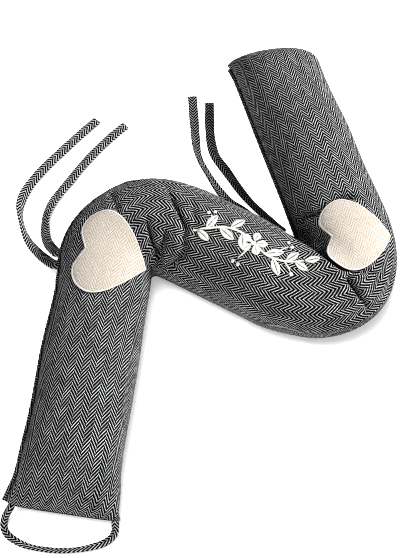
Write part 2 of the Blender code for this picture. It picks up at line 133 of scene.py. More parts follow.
def smoothPath(points, steps):
    # A smooth curve through the points (Catmull-Rom), with steps places between each two.
    points = np.asarray(points, float)
    ends = np.vstack((2 * points[0] - points[1], points, 2 * points[-1] - points[-2]))
    path = []
    for before, a, b, after in zip(ends, ends[1:], ends[2:], ends[3:]):
        for t in np.arange(steps) / steps:
            path.append(0.5 * (2 * a + (b - before) * t + (2 * before - 5 * a + 4 * b - after) * t * t
                               + (3 * a - before - 3 * b + after) * t ** 3))
    return np.array(path + [points[-1]])


def runLengths(path):
    path = np.asarray(path, float)
    return np.concatenate(((0.0,), np.cumsum(np.linalg.norm(np.diff(path, axis=0), axis=1))))


def evenly(path, spacing):
    # The path again, with points evenly spaced.
    run = runLengths(path)
    at = np.linspace(0, run[-1], max(2, round(run[-1] / spacing) + 1))
    return np.stack([np.interp(at, run, path[:, axis]) for axis in range(path.shape[1])], axis=1)


def eased(value):
    value = np.clip(value, 0.0, 1.0)
    return value * value * (3 - 2 * value)


def unit(vectors):
    return vectors / np.linalg.norm(vectors, axis=-1, keepdims=True)


def toLeft(vectors):
    # Vectors in plan, turned to their left by a quarter.
    return np.stack((-vectors[..., 1], vectors[..., 0]), axis=-1)


def rotated(across, up, angle):
    # Two directions, or two coordinates, turned together by an angle.
    cos, sin = math.cos(angle), math.sin(angle)
    return across * cos - up * sin, across * sin + up * cos


class Wiring:
    # Short words for building the nodes of one tree. A node's inputs are given as {name or number: value}.

    def __init__(self, tree):
        self.tree = tree

    def put(self, node, inputs):
        for key, value in inputs.items():
            if isinstance(value, bpy.types.NodeSocket):
                self.tree.links.new(value, node.inputs[key])
            else:
                node.inputs[key].default_value = value

    def add(self, kind, inputs, **settings):
        node = self.tree.nodes.new(kind)
        for key, value in settings.items():
            setattr(node, key, value)
        self.put(node, inputs)
        return node

    def maths(self, operation, *values):
        return self.add("ShaderNodeMath", dict(enumerate(values)), operation=operation).outputs[0]

    def between(self, share, a, b):
        # From a to b, both numbers, as share goes from 0 to 1.
        return self.add("ShaderNodeMix", {0: share, 2: a, 3: b}, data_type="FLOAT").outputs[0]

    def tint(self, share, a, b):
        # From colour a to colour b as share goes from 0 to 1.
        return self.add("ShaderNodeMix", {0: share, 6: a, 7: b}, data_type="RGBA").outputs[2]

    def scaled(self, color, factor):
        return self.add("ShaderNodeVectorMath", {0: color, "Scale": factor}, operation="SCALE").outputs[0]

    def dice(self, x, y):
        # A random number from 0 to 1 for each pair of whole numbers.
        pair = self.add("ShaderNodeCombineXYZ", {0: x, 1: y}).outputs[0]
        return self.add("ShaderNodeTexWhiteNoise", {"Vector": pair}, noise_dimensions="2D").outputs["Value"]

    def clouds(self, vector, scale, detail=2.0):
        inputs = {"Vector": vector, "Scale": scale, "Detail": detail}
        return self.add("ShaderNodeTexNoise", inputs).outputs[0]

    def bump(self, distance, height):
        return self.add("ShaderNodeBump", {"Distance": distance, "Height": height}).outputs[0]


def makeMaterial(name):
    # A new material and the wiring of its nodes.
    material = bpy.data.materials.new(name)
    material.use_nodes = True
    return material, Wiring(material.node_tree)


def rgba(color):
    return (*color, 1.0)


tweedLook = {
    "threadPitch": 0.00078,              # between warp threads
    "pickPitch": 0.00118,                # between weft threads
    "columnThreads": 9,                  # threads before the twill turns back
    "dark": (0.0030, 0.0030, 0.0034),
    "light": (0.945, 0.95, 0.96),
    "lightPicks": 2.0,                   # of each repeat's picks, those that a light thread passes over
    "darkFleck": 0.01,                   # how light the palest dark thread is
    "uneven": 0.55,                      # share of its light that a light thread may lack
    "dipShade": 1.0,                       # painted shade: darkening where a thread dips under the next
    "relief": 0.0004,
    "gloss": 0.0,
    "roughness": 0.95,
    "wander": (260.0, 0.5, 0.4),         # clouds to the metre, reach in picks, share of it in threads
    "lightHump": (4.0, 1.1),             # powers that shape a light thread, across and along, in relief and painted shade
    "darkHump": (2.0, 3.0, 0.7),         # the same for a dark one, and its height beside a light one
    "fibres": (9000.0, 3.0, 0.3),        # clouds to the metre, detail, share of the relief
    "fibreLight": (0.85, 1.15),          # least and most light on light threads' fibres
    "fibreDark": (0.6, 1.4),
}
repeat = 4                               # picks in the twill's repeat


def weaveMaterial(name, look):
    # A broken herringbone: a two and two twill that turns back at each column's edge, half a repeat
    # out of step with its neighbour. Its light threads run along the columns.
    material, w = makeMaterial(name)
    operations = ("ADD", "SUBTRACT", "MULTIPLY", "MULTIPLY_ADD", "DIVIDE", "FLOOR", "FLOORED_MODULO")
    plus, minus, times, timesPlus, over, floor, modulo = (partial(w.maths, kind) for kind in operations)
    place = w.add("ShaderNodeUVMap", {}, uv_map="weave").outputs[0]
    u, v = w.add("ShaderNodeSeparateXYZ", {0: place}).outputs[:2]
    wanderScale, wander, warpShare = look["wander"]
    wobble = timesPlus(w.clouds(place, wanderScale), wander, -wander / 2)
    warp = timesPlus(wobble, warpShare, over(u, look["threadPitch"]))
    weft = plus(over(v, look["pickPitch"]), wobble)
    thread, pick = floor(warp), floor(weft)
    across, along = minus(warp, thread), minus(weft, pick)

    size = float(look["columnThreads"])
    column = floor(over(plus(thread, 0.5), size))
    inColumn = timesPlus(column, -size, thread)
    odd = modulo(column, 2.0)
    leaning = w.between(odd, inColumn, minus(repeat / 2, inColumn))
    step = plus(pick, leaning)
    phase = modulo(step, float(repeat))
    picks = look["lightPicks"]
    onTop = w.maths("LESS_THAN", phase, picks - 0.5)         # 1 where the light warp thread shows

    def hump(value, power):                          # 0 at both ends of 0 to 1, and 1 in its middle
        far = w.maths("ABSOLUTE", timesPlus(value, 2.0, -1.0))
        return minus(1.0, w.maths("POWER", far, power))

    lightRun = over(plus(phase, along), picks)
    darkAcross = w.between(odd, across, minus(1.0, across))
    darkRun = over(plus(minus(phase, picks), darkAcross), repeat - picks)
    acrossPower, alongPower = look["lightHump"]
    lightHump = times(hump(across, acrossPower), hump(lightRun, alongPower))
    acrossPower, alongPower, darkHeight = look["darkHump"]
    darkHump = times(hump(along, acrossPower), hump(darkRun, alongPower))
    height = w.between(onTop, times(darkHump, darkHeight), lightHump)

    stroke = floor(over(step, float(repeat)))
    luck = timesPlus(w.dice(thread, stroke), 0.5, times(w.dice(column, stroke), 0.5))
    fibreScale, fibreDetail, fibreRelief = look["fibres"]
    fibres = w.clouds(place, fibreScale, fibreDetail)
    toneAndShade = minus(1.0, times(luck, look["uneven"]))
    # painted shade: each light thread darker towards its edges and ends, where it dips under the next
    toneAndShade = times(toneAndShade, w.between(lightHump, 1.0 - look["dipShade"], 1.0))
    toneAndShade = times(toneAndShade, w.between(fibres, *look["fibreLight"]))
    fleck = w.tint(times(w.dice(pick, stroke), look["darkFleck"]),
                   rgba(look["dark"]), rgba(look["light"]))
    dark = w.scaled(fleck, w.between(fibres, *look["fibreDark"]))
    relief = plus(height, times(fibres, fibreRelief))
    w.put(w.tree.nodes["Principled BSDF"], {
        "Base Color": w.tint(onTop, dark, w.scaled(look["light"], toneAndShade)),
        "Normal": w.bump(look["relief"], relief),
        "Roughness": look["roughness"],
        "Specular IOR Level": look["gloss"],
    })
    return material


feltLook = {
    **tweedLook,
    "dark": (0.33, 0.25, 0.19),
    "light": (0.53, 0.505, 0.465),
    "lightPicks": 3.0,
    "darkFleck": 0.30,
    "uneven": 0.06,
    "dipShade": 0.20,
    "relief": 0.0003,
    "gloss": 0.1,
}

#   the piping's cloth is cut on the bias and rolled, and shows fewer of its light threads
pipingCloth = {**tweedLook, "light": (0.85, 0.85, 0.84), "uneven": 0.6}
#   the ties' tape is woven more loosely, in two columns
tapeCloth = {**tweedLook, "threadPitch": 0.00090, "pickPitch": 0.00112, "columnThreads": 6, "uneven": 0.3}

tweed = weaveMaterial("herringboneTweed", tweedLook)
cream = weaveMaterial("creamHerringbone", feltLook)
trim = weaveMaterial("biasPiping", pipingCloth)
tape = weaveMaterial("herringboneTape", tapeCloth)
print("cloth woven")


tieLook = {
    "width": 0.0118,
    "thickness": 0.0026,
    "ringSpacing": 0.0016,
    "sides": 22,
    "flatness": 0.36,                    # power that squares the section's round edges
    "edgeWobble": (0.00015, 0.0063),     # its depth, and the length over which it turns by a radian
    "routeSteps": 12,                    # places between each two points of a route
    "rollEasing": 6,                     # rings before and after, over which the roll is evened out
}

loopLook = {**tieLook, "width": 0.0078}

#   how far each tape is turned on edge, left edge up: share of its length, degrees
tapeRolls = {
    "tie_1a": ((0.0, 0), (0.18, 10), (0.27, 40), (0.36, 76), (0.42, 70), (0.52, 15), (1.0, 0)),
    "tie_1b": ((0.0, 0), (0.16, 0), (0.26, -22), (0.34, -36), (0.45, -12), (1.0, 0)),
    "tie_2a": ((0.0, 0), (0.30, 0), (0.42, 25), (0.52, 44), (0.64, 48), (0.75, 25), (0.90, 0), (1.0, 0)),
    "tie_2b": ((0.0, 0), (0.12, 16), (0.20, 28), (0.36, 28), (0.46, 18), (0.56, 0), (1.0, 0)),
    "hang_loop": ((0.0, 0), (0.18, 0), (0.30, -40), (0.42, -50), (0.66, -50), (0.78, -34), (0.88, 0),
                  (1.0, 0)),
}

floorRide = 0.0020                       # height of a tape's middle where it lies on the floor
#   the tapes' middle lines, from the seam; a point without a height lies on the floor
tieRoutes = {
    "tie_1a": ((-0.1722, -0.0187, 0.0418), (-0.1778, -0.0175, 0.0398), (-0.1850, -0.0105, 0.0325),
               (-0.1930, -0.0010, 0.0240), (-0.2015, 0.0100, 0.0150), (-0.2105, 0.0220, 0.0075),
               (-0.2190, 0.0355, 0.0030), (-0.2262, 0.0525), (-0.2312, 0.0730), (-0.2305, 0.0907),
               (-0.2250, 0.1079), (-0.2162, 0.1237), (-0.2053, 0.1395), (-0.1900, 0.1589),
               (-0.1738, 0.1788), (-0.1600, 0.1951), (-0.1459, 0.2107)),
    "tie_1b": ((-0.1705, -0.0036, 0.0418), (-0.1768, -0.0018, 0.0398), (-0.1820, 0.0060, 0.0325),
               (-0.1877, 0.0155, 0.0235), (-0.1928, 0.0260, 0.0145), (-0.1966, 0.0375, 0.0070),
               (-0.1988, 0.0505, 0.0028), (-0.1990, 0.0667), (-0.1933, 0.0864), (-0.1850, 0.1015),
               (-0.1753, 0.1167), (-0.1626, 0.1372), (-0.1493, 0.1565), (-0.1320, 0.1785),
               (-0.1208, 0.1910), (-0.1092, 0.2028)),
    "tie_2a": ((0.0615, 0.0305, 0.0391), (0.0638, 0.0358, 0.0360), (0.0640, 0.0405, 0.0275),
               (0.0625, 0.0458, 0.0175), (0.0592, 0.0515, 0.0090), (0.0530, 0.0590, 0.0040),
               (0.0450, 0.0683, 0.0022), (0.0345, 0.0775), (0.0212, 0.0878), (0.0075, 0.1058),
               (-0.0060, 0.1299), (-0.0138, 0.1465), (-0.0183, 0.1628), (-0.0206, 0.1879),
               (-0.0216, 0.2025), (-0.0226, 0.2178), (-0.0245, 0.2484)),
    "tie_2b": ((0.0743, 0.0233, 0.0393), (0.0772, 0.0297, 0.0366), (0.0796, 0.0352, 0.0275),
               (0.0802, 0.0415, 0.0170), (0.0785, 0.0478, 0.0088), (0.0750, 0.0542, 0.0037),
               (0.0695, 0.0612), (0.0600, 0.0712), (0.0470, 0.0860), (0.0345, 0.1040), (0.0180, 0.1330),
               (0.0050, 0.1545), (0.0002, 0.1719), (-0.0018, 0.1895), (-0.0024, 0.2075), (-0.0024, 0.2225),
               (-0.0023, 0.2378)),
    "hang_loop": ((-0.2040, -0.2787, 0.0190), (-0.2052, -0.2825, 0.0182), (-0.2082, -0.2862, 0.0150),
                  (-0.2112, -0.2898, 0.0095), (-0.2131, -0.2948, 0.0050), (-0.2124, -0.3016, 0.0026),
                  (-0.2060, -0.3090), (-0.1925, -0.3163), (-0.1800, -0.3197), (-0.1640, -0.3219),
                  (-0.1484, -0.3223), (-0.1330, -0.3209), (-0.1190, -0.3178), (-0.1090, -0.3138, 0.0023),
                  (-0.1024, -0.3087, 0.0048), (-0.0996, -0.3037, 0.0105), (-0.0992, -0.2997, 0.0165),
                  (-0.0989, -0.2971, 0.0200)),
}
tieRoutes = {node: [(*spot, floorRide)[:3] for spot in route] for node, route in tieRoutes.items()}


def capped(faces, uvs, rows, around):
    # The faces with those of both ends added, and the (u, v) of the ends' corners. uvs(row, step) is the
    # place of one point in the weave.
    faces, ends = [tuple(face) for face in faces], []
    for row, order in ((0, range(around)), (rows - 1, range(around - 1, -1, -1))):
        faces.append(tuple(row * around + step for step in order))
        ends += [uvs(row, step) for step in order]
    return faces, ends


def cappedTube(name, rings, uvs, material):
    # A closed tube of rings, with one (u, v) for each ring's points and for its first point again.
    rows, around = rings.shape[:2]
    faces, places = tubeFaces(rows, around)
    faces, ends = capped(faces, lambda row, step: uvs[row, step], rows, around)
    corners = uvs[places[..., 0], places[..., 1]].reshape(-1, 2)
    item = makeObject(name, rings.reshape(-1, 3), faces, np.vstack((corners, ends)))
    item.data.materials.append(material)
    facesOut(item)
    return item


def crossFrame(path, index):
    # The directions sideways and upwards from a path at one of its points.
    forward = unit(path[min(index + 1, len(path) - 1)] - path[max(index - 1, 0)])
    side = unit(np.cross(forward, (0, 0, 1.0)))
    return side, np.cross(side, forward)


def rounded(wave, flatness):
    return np.sign(wave) * np.abs(wave) ** flatness


def makeStrap(name, route, rolls, chevron, look, material):
    # A flat folded tape with square ends, face down along its route but for where it rolls on edge. Two
    # columns of the weave meet along the middle of its face, in chevrons that point along it (1) or
    # back (-1).
    path = evenly(smoothPath(route, look["routeSteps"]), look["ringSpacing"])
    run = runLengths(path)
    reach = look["rollEasing"]
    roll = np.pad(np.interp(run / run[-1], *zip(*rolls)), reach, mode="edge")
    roll = np.radians(np.convolve(roll, np.ones(2 * reach + 1) / (2 * reach + 1), mode="valid"))
    path[:, 2] += np.abs(np.sin(roll)) * (look["width"] - look["thickness"]) / 2
    turn = 2 * np.pi * np.arange(look["sides"]) / look["sides"] - np.pi / 2
    acrossShare, upShare = rounded(np.cos(turn), look["flatness"]), rounded(np.sin(turn), look["flatness"])
    outline = np.column_stack((look["width"] / 2 * acrossShare, look["thickness"] / 2 * upShare))
    around = runLengths(np.vstack((outline, outline[:1])))
    depth, pitch = look["edgeWobble"]
    rings, uvs = [], []
    for index, centre in enumerate(path):
        side, up = rotated(*crossFrame(path, index), roll[index])
        wobble = depth * (math.sin(run[index] / pitch + len(name)) - 1)
        rings.append(centre + np.outer(outline[:, 0] + wobble * acrossShare, side)
                     + np.outer(outline[:, 1], up))
        uvs.append(np.column_stack((around - around[-1] / 2, np.full(len(around), chevron * run[index]))))
    return cappedTube(name, np.array(rings), np.array(uvs), material), path, float(run[-1])


straps = {}
for node, route in tieRoutes.items():
    look = loopLook if node == "hang_loop" else tieLook
    name = "".join(word.capitalize() for word in node.split("_")) + "Tape"
    chevron = -1 if node == "tie_2a" else 1
    straps[node] = (*makeStrap(name, route, tapeRolls[node], chevron, look, tape), look)
print("ties and loop laid out")


tube = {
    "length": 0.90,
    "lowerLength": 0.268,
    "middleLength": 0.1206,
    "lowerHeading": math.radians(83.2),
    "firstTurn": math.radians(-109.1),
    "secondTurn": math.radians(132.1),
    "firstRadius": 0.0535,
    "secondRadius": 0.0585,
    "firstFold": (-0.0649, -0.0295),
    "foldGap": (0.0035, 0.0050),
    "shiftFade": 0.05,
    "widestHeight": 0.47,                # of the height
    "contactShare": 0.50,
    "endContactShare": 0.93,
    "crownPower": 2.15,
    "bellyPower": 2.0,
    "endSeamHeight": 0.020,
    "endSeamThickness": 0.008,
    "endCrown": (0.070, 0.044),          # near end, far end
    "endFullness": (0.75, 0.5),
    "endBelly": 0.026,
    "endSkew": ((0.006, 0.0), (0.0, -0.018)),
    "endBow": (0.0018, 0.0045),          # of the near end, right and left of its middle
    "bowSquareness": 8,
    "endSwing": (0.0035, 0.030),         # how far left the near end is pulled, over what length
    "skewLength": 0.09,
    "seamTurn": ((0.0, 15.0), (0.25, 13.0), (0.45, 4.0), (0.60, -4.0), (0.90, -5.0)),
    #            along  half width  height
    "sections": ((0.000, 0.0600, 0.074), (0.010, 0.0562, 0.0745), (0.025, 0.0533, 0.075),
                 (0.050, 0.0506, 0.077), (0.075, 0.0503, 0.0775), (0.110, 0.0508, 0.078),
                 (0.150, 0.0512, 0.078), (0.268, 0.0516, 0.080), (0.305, 0.0554, 0.083),
                 (0.340, 0.0580, 0.0865), (0.370, 0.0560, 0.088), (0.430, 0.0543, 0.089),
                 (0.490, 0.0545, 0.088), (0.510, 0.0556, 0.086), (0.532, 0.0598, 0.084),
                 (0.564, 0.0617, 0.083), (0.586, 0.0580, 0.081), (0.609, 0.0540, 0.079),
                 (0.660, 0.0528, 0.078), (0.760, 0.0534, 0.078), (0.860, 0.0530, 0.077),
                 (0.900, 0.0530, 0.074)),
    "columns": 42,                       # of the weave, round the tube
    "columnSteps": 5,                    # mesh steps round the tube in each
    "outlineSteps": 120,                 # to each quarter of a section, before it is cut into columns
    "legSpacing": 0.0035,
    "bendSpacing": 0.0014,
    "bendMargin": 0.012,
    "endRows": 16,
    "lip": (0.006, 0.0022),              # length and thickness of the pressed seam at each end
}
firstStart = tube["lowerLength"]
firstEnd = firstStart + tube["firstRadius"] * abs(tube["firstTurn"])
secondStart = firstEnd + tube["middleLength"]
secondEnd = secondStart + tube["secondRadius"] * abs(tube["secondTurn"])


def leftOf(heading):
    return np.array((-math.sin(heading), math.cos(heading)))


def aheadOf(heading):
    return np.array((math.cos(heading), math.sin(heading)))


middleHeading = tube["lowerHeading"] + tube["firstTurn"]
firstFold = np.array(tube["firstFold"])
secondFold = (firstFold + (tube["firstRadius"] + tube["secondRadius"]) * leftOf(middleHeading)
              + tube["middleLength"] * aheadOf(middleHeading))
folds = (firstFold, secondFold)


def middleLine(along):
    # Plan position and heading.
    if along < firstEnd:
        turned = min(max(along - firstStart, 0.0), firstEnd - firstStart) / tube["firstRadius"]
        heading = tube["lowerHeading"] - turned
        return (firstFold + tube["firstRadius"] * leftOf(heading)
                + min(along - firstStart, 0.0) * aheadOf(heading)), heading
    if along < secondStart:
        place = firstFold + tube["firstRadius"] * leftOf(middleHeading)
        return place + (along - firstEnd) * aheadOf(middleHeading), middleHeading
    turned = min(along - secondStart, secondEnd - secondStart) / tube["secondRadius"]
    heading = middleHeading + turned
    return (secondFold - tube["secondRadius"] * leftOf(heading)
            + max(along - secondEnd, 0.0) * aheadOf(heading)), heading


def sectionValue(column, at):
    # A smooth curve through one column of the sections' table.
    table = np.array(tube["sections"])
    places, values = table[:, 0], table[:, column]
    slopes = np.gradient(values, places)
    row = min(max(int(np.searchsorted(places, at, side="right")) - 1, 0), len(places) - 2)
    width = places[row + 1] - places[row]
    t = (at - places[row]) / width
    return (values[row] * (1 + 2 * t) * (1 - t) ** 2 + values[row + 1] * t * t * (3 - 2 * t)
            + width * (slopes[row] * t * (1 - t) ** 2 - slopes[row + 1] * t * t * (1 - t)))


def sideShift(along, halfWidth):
    # How far left of the middle line the section sits.
    first = halfWidth + tube["foldGap"][0] - tube["firstRadius"]
    second = tube["secondRadius"] - halfWidth - tube["foldGap"][1]
    fade = tube["shiftFade"]
    swap = eased((along - firstEnd) / tube["middleLength"])
    intoFirst = eased((along - firstStart + fade) / fade)
    outOfSecond = 1 - eased((along - secondEnd) / fade)
    return first * intoFirst * (1 - swap) + second * swap * outOfSecond


def section(along):
    # Outline of one section from the seam round over the top: across, heights, its middle and its widest
    # height.
    halfWidth, height = sectionValue(1, along), sectionValue(2, along)
    fromEnd = min(along, tube["length"] - along)
    end = 0 if fromEnd == along else 1
    crown = (1 - (1 - min(fromEnd / tube["endCrown"][end], 1.0)) ** 2) ** tube["endFullness"][end]
    belly = math.sqrt(1 - (1 - min(fromEnd / tube["endBelly"], 1.0)) ** 2)
    lipLength, lipThickness = tube["lip"]
    opened = float(eased(fromEnd / lipLength))
    seamThickness = lipThickness + (tube["endSeamThickness"] - lipThickness) * opened
    seamTop = tube["endSeamHeight"] + seamThickness / 2
    seamBottom = tube["endSeamHeight"] - seamThickness / 2
    top = seamTop + (height - seamTop) * crown
    bottom = seamBottom * (1 - belly)
    widest = bottom + (top - bottom) * (0.5 + (tube["widestHeight"] - 0.5) * crown)
    endContact = tube["endContactShare"]
    contact = halfWidth * (endContact + (tube["contactShare"] - endContact) * belly)

    quarter = np.linspace(0, math.pi / 2, tube["outlineSteps"])
    crownAcross = halfWidth * np.cos(quarter) ** (2 / tube["crownPower"])
    crownHeight = widest + (top - widest) * np.sin(quarter) ** (2 / tube["crownPower"])
    bellyAcross = contact + (halfWidth - contact) * np.cos(quarter) ** (2 / tube["bellyPower"])
    bellyHeight = widest - (widest - bottom) * np.sin(quarter) ** (2 / tube["bellyPower"])
    outline = np.column_stack((
        np.concatenate((crownAcross, -crownAcross[-2::-1], -bellyAcross[1:], bellyAcross[::-1])),
        np.concatenate((crownHeight, crownHeight[-2::-1], bellyHeight[1:], bellyHeight[::-1]))))
    lengths = runLengths(outline)

    turn = math.radians(float(np.interp(along, *zip(*tube["seamTurn"]))))
    rise = (top - widest) * math.sin(turn)
    if rise >= 0:
        start = float(np.interp(widest + rise, crownHeight, lengths[:len(crownHeight)]))
    else:
        downBelly = runLengths(np.column_stack((bellyAcross, bellyHeight)))
        start = lengths[-1] - float(np.interp(-rise, widest - bellyHeight, downBelly))
    around = tube["columns"] * tube["columnSteps"]
    places = (start + np.arange(around) / around * lengths[-1]) % lengths[-1]
    swing, swingLength = tube["endSwing"]
    shift = sideShift(along, halfWidth) + swing * (1 - eased(along / swingLength))
    across = np.interp(places, lengths, outline[:, 0]) + shift
    heights = np.interp(places, lengths, outline[:, 1])
    return across, heights, np.array((shift, (top + bottom) / 2)), widest


def stations():
    endRows = tube["endRows"]
    near, far = ([crown * (1 - math.cos(math.pi / 2 * i / endRows)) for i in range(endRows + 1)]
                 for crown in tube["endCrown"])
    margin, leg, bend = tube["bendMargin"], tube["legSpacing"], tube["bendSpacing"]
    places = list(near)
    for last, spacing in ((firstStart - margin, leg), (firstEnd + margin, bend), (secondStart - margin, leg),
                          (secondEnd + margin, bend), (tube["length"] - far[-1], leg)):
        places += np.linspace(places[-1], last, round((last - places[-1]) / spacing) + 1).tolist()[1:]
    return np.array(places + [tube["length"] - distance for distance in reversed(far[:-1])])


# Each crease: the fold it belongs to, its path in plan from that fold, a soft trough (depth, and half width
# to the path's left and right), a sharp notch in it (depth, half width), and a roll of cloth beside it
# (height, distance to the path's left, half width).
creases = {
    "secondValley": (1, ((0.001, -0.013), (0.012, -0.024), (0.021, -0.034), (0.030, -0.044), (0.044, -0.058),
                         (0.055, -0.062)),
                     (0.0165, 0.0170, 0.0054), (0.0030, 0.0028), (0.0015, -0.012, 0.006)),
    "heartFold": (1, ((0.004, 0.016), (0.010, 0.015), (0.018, 0.0141), (0.0264, 0.0165), (0.0401, 0.0230),
                      (0.0506, 0.0280), (0.0609, 0.0306), (0.0720, 0.0300)),
                  (0.0036, 0.0050, 0.0050), (0.0090, 0.0019), (0.0014, 0.008, 0.005)),
    "outerTuck": (1, ((0.052, -0.0746), (0.055, -0.0807), (0.0613, -0.0876), (0.0666, -0.0929),
                      (0.0761, -0.1006)),
                  (0.0030, 0.0040, 0.0040), (0.0075, 0.0017), (0.0012, -0.009, 0.005)),
    "archTuck": (1, ((0.0576, -0.0703), (0.0634, -0.0659), (0.0716, -0.0659), (0.0847, -0.0655),
                     (0.0874, -0.0689), (0.0857, -0.0764)),
                 (0.0020, 0.0030, 0.0030), (0.0026, 0.0013), (0.0008, -0.006, 0.004)),
    "dimple": (1, ((0.0645, -0.1050), (0.0665, -0.1072)),
               (0.0026, 0.0040, 0.0040), (0.0, 0.001), (0.0, 0.01, 0.01)),
    "longArc": (0, ((0.0123, -0.0018), (0.0241, 0.0001), (0.0311, 0.0049), (0.0331, 0.0217),
                    (0.0339, 0.0339), (0.0268, 0.0527), (0.0179, 0.0753), (0.0140, 0.0850)),
                (0.0030, 0.0042, 0.0042), (0.0056, 0.0015), (0.0014, 0.008, 0.005)),
    "besideArc": (0, ((0.0450, 0.0244), (0.0461, 0.0349), (0.0442, 0.0459), (0.0405, 0.0662)),
                  (0.0018, 0.0042, 0.0042), (0.0016, 0.0014), (0.0006, -0.007, 0.005)),
    "shortFold": (0, ((0.0041, 0.0043), (0.0023, 0.0124), (-0.0003, 0.0191), (-0.0037, 0.0294),
                      (-0.0081, 0.0456)),
                  (0.0030, 0.0042, 0.0042), (0.0062, 0.0017), (0.0012, 0.007, 0.005)),
    "cornerFold": (0, ((0.0067, 0.0087), (0.0079, 0.0147), (0.0102, 0.0206), (0.0130, 0.0301)),
                   (0.0030, 0.0040, 0.0040), (0.0060, 0.0017), (0.0012, 0.006, 0.004)),
    "topTuck": (0, ((-0.0502, 0.0870), (-0.0386, 0.0523)),
                (0.0020, 0.0050, 0.0050), (0.0022, 0.0014), (0.0, 0.01, 0.01)),
}
creaseLook = {
    "tail": 0.35,                        # last share of a crease's path, where it gets shallow
    "end": 0.25,                         # share of its depth at its path's end
    "notchPower": 1.5,                   # how sharp its notch is
    "pathSteps": 8,
}

puckers = (                              # fans of small folds about an inner corner
    {"fold": 0, "count": 15, "depth": 0.0013, "from": 0.006, "to": 0.042, "middle": math.radians(75)},
    {"fold": 1, "count": 13, "depth": 0.0011, "from": 0.010, "to": 0.044, "middle": math.radians(-40)},
)
puckerLook = {
    "rise": 0.006,                       # length over which a fan begins
    "fadeFrom": 0.4,                     # share of its reach where it starts to fade
    "halfAngle": 0.7,
    "angleFade": 0.5,
    "waver": (1.7, 0.009, 2),            # how far its folds wander, and how fast with distance and angle
    "unevenness": (0.6, 0.4, 3.1, 1),    # a wave of depth from fold to fold: middle, reach, rate, start
    "crest": -0.4,                       # how far its folds stand out
}

lumps = {
    "height": 0.0012,
    "fade": 0.05,
    "topEase": 0.020,
    "short": 0.021,                      # length along the tube over which a lump's wave turns by a radian
    "long": 0.034,
    "longShare": 0.7,
    "turns": (0.4, 1.0),                 # where round the tube the two waves start
}


def alongPath(path, points):
    # For each point in plan: distance to the path, positive to its left, the share of the path passed
    # there, and the side (1 left, -1 right, changing smoothly past the path's ends).
    run = runLengths(path)
    best = np.full(len(points), np.inf)
    share, side = np.zeros(len(points)), np.zeros(len(points))
    for a, b, start in zip(path, path[1:], run):
        step = b - a
        length = np.linalg.norm(step)
        t = np.clip((points - a) @ step / length ** 2, 0, 1)
        away = points - a - t[:, None] * step
        distance = np.linalg.norm(away, axis=1)
        closer = distance < best
        best = np.where(closer, distance, best)
        turned = (step[0] * away[:, 1] - step[1] * away[:, 0]) / length / np.maximum(distance, 1e-9)
        side = np.where(closer, turned, side)
        share = np.where(closer, (start + t * length) / run[-1], share)
    return best, share, side


def creaseMove(points):
    # How far the creases and puckers move the top at places in plan: negative is inwards.
    move = np.zeros(len(points))
    for fold, path, trough, (notch, notchWidth), (roll, rollAway, rollWidth) in creases.values():
        depth, left, right = trough
        path = smoothPath(np.array(path) + folds[fold], creaseLook["pathSteps"])
        distance, share, side = alongPath(path, points)
        fading = np.minimum(1.0, (1 - share) / creaseLook["tail"] + creaseLook["end"])
        width = right + (left - right) * (1 + side) / 2
        move -= fading * depth * np.exp(-(distance / width) ** 2)
        move -= fading * notch * np.exp(-(distance / notchWidth) ** creaseLook["notchPower"])
        move += fading * roll * np.exp(-((distance * side - rollAway) / rollWidth) ** 2)
    reach, distancePitch, angleRate = puckerLook["waver"]
    middle, wave, rate, start = puckerLook["unevenness"]
    fadeFrom = puckerLook["fadeFrom"]
    for fan in puckers:
        away = points - folds[fan["fold"]]
        distance = np.linalg.norm(away, axis=1)
        angle = np.arctan2(away[:, 1], away[:, 0]) - fan["middle"]
        angle = (angle + np.pi) % (2 * np.pi) - np.pi
        window = (eased((distance - fan["from"]) / puckerLook["rise"])
                  * (1 - eased((distance / fan["to"] - fadeFrom) / (1 - fadeFrom)))
                  * (1 - eased((np.abs(angle) - puckerLook["halfAngle"]) / puckerLook["angleFade"])))
        ripple = np.sin(fan["count"] * angle + reach * np.sin(distance / distancePitch + angleRate * angle))
        depth = fan["depth"] * (middle + wave * np.sin(rate * angle + start))
        move -= depth * window * np.maximum(ripple, puckerLook["crest"])
    return move


def lump(along, share):
    # Unevenness of the stuffing.
    turn = 2 * np.pi * share
    shortStart, longStart = lumps["turns"]
    return lumps["height"] * (np.sin(along / lumps["short"] + np.sin(turn)) * np.cos(turn + shortStart)
                              + lumps["longShare"] * np.sin(along / lumps["long"] + 2 * turn + longStart))


seamGroove = {"depth": 0.0012, "halfWidth": 0.0026, "from": 0.008, "over": 0.03, "roundness": 0.8}
#   small pleats that run into the end seams
gathers = {"depth": 0.0007, "rise": 0.006, "length": 0.034, "pitch": 0.0085, "waver": (2, 0.021)}
#   where the columns slip past each other: from and to, measured from the ends, and past each bend
slip = {"from": 0.10, "to": 0.08, "margin": 0.01}
columnWidth = tweedLook["columnThreads"] * tweedLook["threadPitch"]
weaveRepeat = repeat * tweedLook["pickPitch"]


